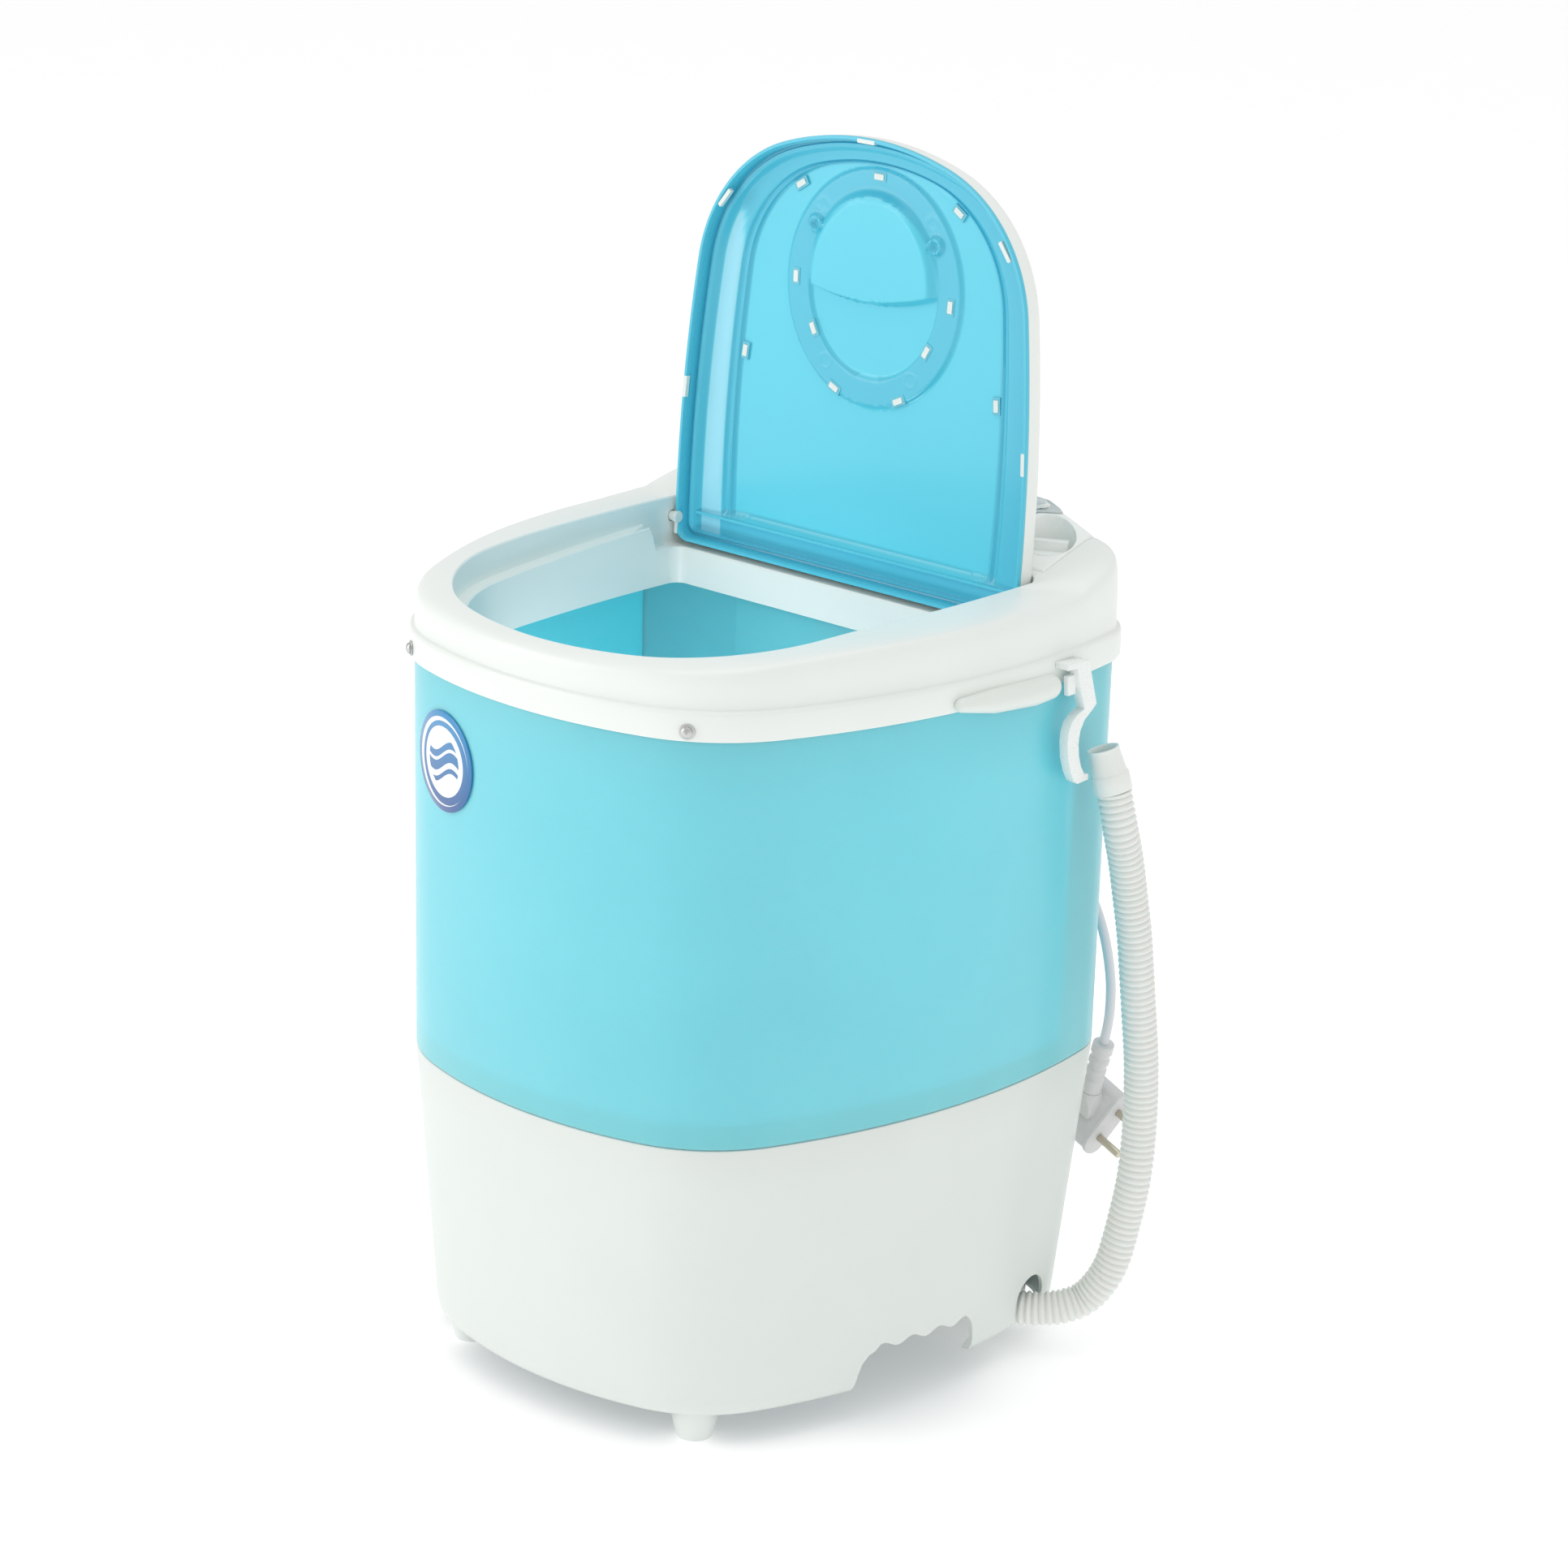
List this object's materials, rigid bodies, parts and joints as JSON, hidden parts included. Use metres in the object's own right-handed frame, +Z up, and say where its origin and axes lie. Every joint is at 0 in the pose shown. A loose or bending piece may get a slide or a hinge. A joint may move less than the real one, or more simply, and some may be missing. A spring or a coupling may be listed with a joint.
{
  "type": "top load washing machine",
  "caption": "Compact portable washer: tapered tub on a base, hinged lid, timer knob, belt-driven pulsator, drain hose on a hook and a mains lead.",
  "frame": {"origin": "on the floor under the middle of the machine's own outline, cord left out", "axes": "+Z up, -Y towards the user at the front, +X to the machine's right as seen from the front"},
  "size_m": [0.4011, 0.436, 0.713],
  "materials": {
    "white": "satin moulded polypropylene, very slightly green white",
    "blue_tub": "satin light blue polypropylene that lets a little light through",
    "blue_lid": "smooth tinted blue plastic, faintly translucent",
    "ring_white": "smooth pale plastic seen through the lid",
    "deck_white": "smooth white moulded plastic",
    "grey_trim": "satin cool grey trim",
    "cap_grey": "silver grey lacquered plastic",
    "badge_blue": "printed round label with a plain wave pattern",
    "blue_part": "smooth blue moulded plastic",
    "inner_cream": "cream electrical moulding",
    "screw_steel": "zinc plated steel",
    "shaft_steel": "turned steel",
    "bracket_steel": "galvanised sheet steel",
    "cast_alloy": "die cast alloy",
    "bush_brass": "sintered bronze",
    "seal_rubber": "black nitrile rubber",
    "belt_rubber": "black rubber belt",
    "pulley_grey": "glass filled dark grey plastic",
    "motor_paint": "dark painted steel can",
    "wire_black": "black insulation",
    "hose_white": "flexible corrugated plastic, slightly greenish translucent white",
    "hook_white": "smooth pale moulding",
    "foot_white": "white moulded foot",
    "cord_grey": "pale grey flexible cord sheath",
    "plug_grey": "warm light grey moulded plug",
    "pin_nickel": "nickel plated brass pin"
  },
  "bodies": {
    "cabinet": {"base_skirt": "white", "wash_tub": "blue_tub", "top_frame": "white", "side_grips": "white", "frame_screws": "screw_steel", "screw_washers": "screw_steel", "hinge_bushes": "white", "control_panel": "deck_white", "emblem_plate": "grey_trim", "emblem_cap": "cap_grey", "timer_body": "inner_cream", "water_inlet": "white", "inlet_chute": "white", "badge": "badge_blue", "bearing_housing": "cast_alloy", "housing_screws": "screw_steel", "upper_bush": "bush_brass", "lower_bush": "bush_brass", "shaft_seal": "seal_rubber", "drive_belt": "belt_rubber", "motor_body": "motor_paint", "motor_bracket": "bracket_steel", "motor_bolts": "screw_steel", "capacitor": "inner_cream", "capacitor_clip": "bracket_steel", "capacitor_screw": "screw_steel", "terminal_block": "inner_cream", "wiring": "wire_black", "drain_grid": "white", "drain_pipe": "white", "hose_clamp": "bracket_steel", "drain_hose": "hose_white", "hose_cuff": "hose_white", "hose_hook": "hook_white", "feet": "foot_white", "foot_screws": "screw_steel", "cord_hook": "white", "cord_gland": "cord_grey", "mains_cord_in": "cord_grey", "cord_coil": "cord_grey", "coil_tie": "wire_black", "mains_cord_out": "cord_grey", "plug_relief": "plug_grey", "plug_body": "plug_grey", "plug_pins": "pin_nickel"},
    "lid": {"lid_cover": "white", "lid_panel": "blue_lid", "handle_ring": "ring_white"},
    "knob": {"timer_knob": "deck_white", "timer_shaft": "shaft_steel"},
    "agitator": {"pulsator": "blue_part", "pulsator_screw": "screw_steel", "drive_shaft": "shaft_steel", "large_pulley": "pulley_grey", "pulley_nut": "screw_steel"},
    "rotor": {"motor_shaft": "shaft_steel", "motor_pulley": "pulley_grey"}
  },
  "joints": [
    {"name": "lid_hinge", "type": "hinge", "parent": "cabinet", "child": "lid", "pos_m": [0, 0.0884, 0.4646], "axis": [1, 0, 0], "range_deg": [0, 95]},
    {"name": "timer_turn", "type": "hinge", "parent": "cabinet", "child": "knob", "pos_m": [0.118, 0.137, 0.482], "axis": [0, 0, 1], "range_deg": [-300, 0]},
    {"name": "pulsator_spin", "type": "hinge", "parent": "cabinet", "child": "agitator", "pos_m": [0, -0.036, 0.2], "axis": [0, 0, 1], "continuous": true},
    {"name": "motor_spin", "type": "hinge", "parent": "cabinet", "child": "rotor", "pos_m": [-0.08, 0.034, 0.14], "axis": [0, 0, 1], "continuous": true}
  ],
  "couplings": [
    {"joint": "motor_spin", "follows": "pulsator_spin", "ratio": 3.93}
  ]
}
